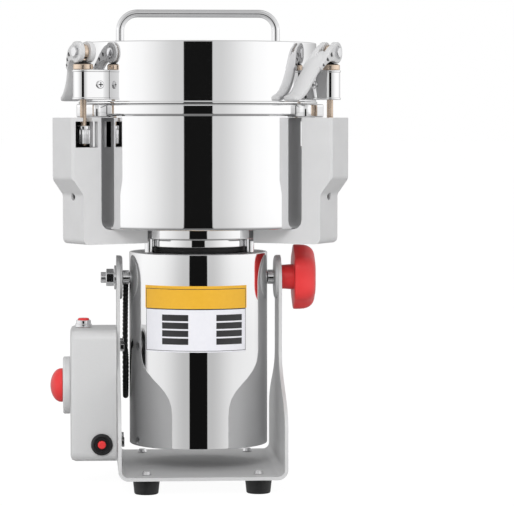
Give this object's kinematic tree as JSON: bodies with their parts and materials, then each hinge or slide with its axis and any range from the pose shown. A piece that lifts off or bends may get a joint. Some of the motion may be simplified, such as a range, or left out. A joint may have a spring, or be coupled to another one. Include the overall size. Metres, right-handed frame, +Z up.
{
  "type": "electric spice grinder",
  "caption": "High-speed powder grinder: lidded steel bowl with cam clamps on an upright motor that tilts in a bent sheet stand with a control box.",
  "frame": {"origin": "centre of the bounding box's bottom face, on the plane that the feet stand on; the spindle's axis is at x 0.001724, y -0.0169", "axes": "+Z up along the spindle, front faces -Y, control box on the -X side, lock knob on the +X side"},
  "size_m": [0.2656, 0.2498, 0.4287],
  "materials": {
    "polished_steel": "mirror polished stainless steel",
    "chrome": "bright plated",
    "cast_aluminium": "fine blasted casting",
    "painted": "silver grey powder coat",
    "brass": "satin",
    "rubber": "matt",
    "black_plastic": "satin",
    "red_plastic": "glossy moulding",
    "blade_steel": "ground",
    "motor_body": "plain"
  },
  "bodies": {
    "stand": {"stand_frame": "painted", "foot_front_left": "rubber", "foot_front_right": "rubber", "foot_back_left": "rubber", "foot_back_right": "rubber", "foot_screw_front_left": "chrome", "foot_screw_front_right": "chrome", "foot_screw_back_left": "chrome", "foot_screw_back_right": "chrome", "control_box": "painted", "box_screw_1": "chrome", "box_screw_2": "chrome", "box_screw_3": "chrome", "box_screw_4": "chrome", "timer_plate": "cast_aluminium", "power_button_ring": "chrome", "reset_bezel": "black_plastic", "motor_lead": "rubber"},
    "head": {"motor_housing": "polished_steel", "motor": "motor_body", "motor_top_plate": "cast_aluminium", "bearing_ring": "polished_steel", "hub_plate": "polished_steel", "arm_left": "cast_aluminium", "arm_right": "cast_aluminium", "arm_back": "cast_aluminium", "bowl": "polished_steel", "lid_gasket": "rubber", "lid": "polished_steel", "lid_handle": "chrome", "lid_lug_left": "polished_steel", "lid_lug_right": "polished_steel", "lid_lug_back": "polished_steel", "eye_bolt_left": "brass", "eye_bolt_right": "brass", "eye_bolt_back": "brass", "clamp_washer_left": "brass", "clamp_washer_right": "brass", "clamp_washer_back": "brass", "pivot_spacer_left": "chrome", "pivot_spacer_right": "chrome", "pivot_washer_left": "chrome", "pivot_bolt_left": "chrome"},
    "spindle": {"spindle": "blade_steel", "blade_lower": "blade_steel", "blade_upper": "blade_steel", "blade_top": "blade_steel"},
    "lock_knob": {"lock_knob": "red_plastic"},
    "timer_knob": {"timer_knob": "red_plastic"},
    "power_button": {"power_button": "red_plastic"},
    "reset_button": {"reset_button": "red_plastic"},
    "lever_left": {"clamp_lever_left": "cast_aluminium", "lever_pin_left": "chrome"},
    "lever_right": {"clamp_lever_right": "cast_aluminium", "lever_pin_right": "chrome"},
    "lever_back": {"clamp_lever_back": "cast_aluminium", "lever_pin_back": "chrome"},
    "nut_left": {"tension_nut_left": "chrome"},
    "nut_right": {"tension_nut_right": "chrome"},
    "nut_back": {"tension_nut_back": "chrome"}
  },
  "joints": [
    {"name": "head_tilt", "type": "hinge", "parent": "stand", "child": "head", "pos_m": [0.00172, -0.0169, 0.1864], "axis": [1, 0, 0], "range_deg": [0, 80]},
    {"name": "spindle_turn", "type": "hinge", "parent": "head", "child": "spindle", "pos_m": [0.00172, -0.0169, 0.2236], "axis": [0, 0, 1], "continuous": true},
    {"name": "lock_knob_turn", "type": "hinge", "parent": "head", "child": "lock_knob", "pos_m": [0.09172, -0.0169, 0.1864], "axis": [1, 0, 0], "range_deg": [0, 180]},
    {"name": "timer_turn", "type": "hinge", "parent": "stand", "child": "timer_knob", "pos_m": [-0.11828, -0.0169, 0.0886], "axis": [1, 0, 0], "range_deg": [0, 300]},
    {"name": "power_press", "type": "slide", "parent": "stand", "child": "power_button", "axis": [0, 0, -1], "range_m": [0, 0.0015], "stiffness_N_per_m": 400},
    {"name": "reset_press", "type": "slide", "parent": "stand", "child": "reset_button", "axis": [0, 1, 0], "range_m": [0, 0.0018], "stiffness_N_per_m": 400},
    {"name": "lever_left_open", "type": "hinge", "parent": "head", "child": "lever_left", "pos_m": [-0.10224, -0.08963, 0.3887], "axis": [0.866, 0.5, 0], "range_deg": [0, 150]},
    {"name": "lever_right_open", "type": "hinge", "parent": "head", "child": "lever_right", "pos_m": [0.11669, -0.07057, 0.3887], "axis": [-0.866, 0.5, 0], "range_deg": [0, 150]},
    {"name": "lever_back_open", "type": "hinge", "parent": "head", "child": "lever_back", "pos_m": [-0.00928, 0.1095, 0.3887], "axis": [0, -1, 0], "range_deg": [0, 150]},
    {"name": "nut_left_turn", "type": "hinge", "parent": "head", "child": "nut_left", "pos_m": [-0.10224, -0.08963, 0.3161], "axis": [0, 0, 1], "continuous": true},
    {"name": "nut_right_turn", "type": "hinge", "parent": "head", "child": "nut_right", "pos_m": [0.11669, -0.07057, 0.3161], "axis": [0, 0, 1], "continuous": true},
    {"name": "nut_back_turn", "type": "hinge", "parent": "head", "child": "nut_back", "pos_m": [-0.00928, 0.1095, 0.3161], "axis": [0, 0, 1], "continuous": true}
  ]
}
